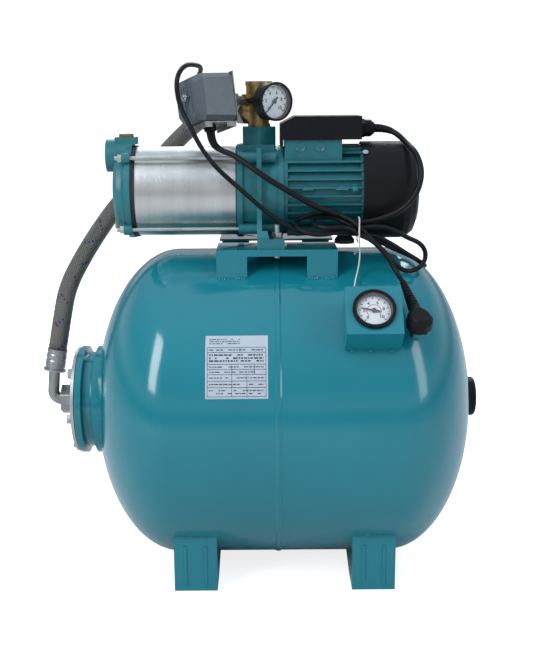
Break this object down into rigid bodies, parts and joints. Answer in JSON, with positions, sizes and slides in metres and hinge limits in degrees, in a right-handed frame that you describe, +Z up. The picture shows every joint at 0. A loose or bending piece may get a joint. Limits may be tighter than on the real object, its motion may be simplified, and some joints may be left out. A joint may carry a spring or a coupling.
{
  "type": "centrifugal water pump",
  "caption": "Horizontal multistage centrifugal pump and motor on a horizontal pressure tank, with pressure switch, gauges, braided hose and mains lead.",
  "frame": {"origin": "on the floor, at the centre of the four foot bolt holes, below the middle of the tank", "axes": "+X along the tank and the pump shaft towards the motor's fan, +Y to the rear away from the gauges, +Z up"},
  "size_m": [0.6463, 0.4528, 0.7224],
  "materials": {
    "tank_paint": "gloss",
    "machine_paint": "semi-gloss paint over cast iron",
    "plated_steel": "zinc plated",
    "stainless": "polished",
    "bright_chrome": "polished",
    "aluminium_paint": "painted",
    "brass": "machined",
    "black_plastic": "moulded",
    "grey_plastic": "moulded",
    "rubber": "matt",
    "white_face": "printed",
    "clear_lens": "clear",
    "steel": "ground",
    "copper_iron": "laminated, with windings",
    "lead_sheath": "satin",
    "white_wire": "satin",
    "braid": "woven"
  },
  "bodies": {
    "set": {"tank_shell_left": "tank_paint", "tank_shell_right": "tank_paint", "tank_bladder": "rubber", "tank_neck": "tank_paint", "counter_flange": "plated_steel", "flange_bolts": "plated_steel", "air_valve": "brass", "air_valve_cap": "black_plastic", "tank_feet": "tank_paint", "pump_bracket_front": "tank_paint", "pump_bracket_rear": "tank_paint", "gauge_box": "tank_paint", "gauge_cases": "black_plastic", "gauge_dials": "white_face", "gauge_lenses": "clear_lens", "brass_fitting": "brass", "switch_cover": "grey_plastic", "switch_base": "plated_steel", "switch_diaphragm": "plated_steel", "switch_spring": "steel", "switch_contacts": "black_plastic", "switch_cap_nut": "bright_chrome", "cable_glands": "black_plastic", "suction_casing": "machine_paint", "casing_plugs": "brass", "casing_gaskets": "rubber", "pump_sleeve": "stainless", "tie_rods": "plated_steel", "diffusers": "white_face", "seal_seat": "steel", "discharge_bracket": "machine_paint", "foot_bolts": "plated_steel", "motor_frame": "aluminium_paint", "stator": "copper_iron", "ball_bearings": "steel", "end_shield": "aluminium_paint", "fan_cover": "black_plastic", "cover_screws": "bright_chrome", "terminal_box": "black_plastic", "run_capacitor": "grey_plastic", "motor_foot": "rubber", "hose_elbow": "bright_chrome", "hose_nuts": "bright_chrome", "hose_ferrules": "stainless", "braided_hose": "braid", "motor_lead": "lead_sheath", "mains_lead": "lead_sheath", "mains_lead_tail": "lead_sheath", "mains_lead_hank": "lead_sheath", "plug": "rubber", "wire_tie": "white_wire"},
    "pump_rotor": {"shaft": "steel", "seal_ring": "steel", "impellers": "white_face", "rotor": "steel", "fan": "black_plastic"},
    "line_needle": {"line_gauge_needle": "black_plastic"},
    "tank_needle": {"tank_gauge_needle": "black_plastic"},
    "contact_lever": {"switch_lever": "plated_steel"}
  },
  "joints": [
    {"name": "rotor_spin", "type": "hinge", "parent": "set", "child": "pump_rotor", "pos_m": [0, 0, 0.543], "axis": [1, 0, 0], "continuous": true},
    {"name": "line_gauge_reading", "type": "hinge", "parent": "set", "child": "line_needle", "pos_m": [-0.00977, -0.03346, 0.668], "axis": [0.5446, -0.8387, 0], "range_deg": [-270, 0]},
    {"name": "tank_gauge_reading", "type": "hinge", "parent": "set", "child": "tank_needle", "pos_m": [0.115, -0.20083, 0.40658], "axis": [0, -0.7547, 0.6561], "range_deg": [-208, 62]},
    {"name": "switch_lever_tilt", "type": "hinge", "parent": "set", "child": "contact_lever", "pos_m": [-0.08551, -0.04003, 0.65044], "axis": [0.5327, -0.8203, 0.2079], "range_deg": [-4, 4], "stiffness_Nm_per_rad": 0.5}
  ]
}
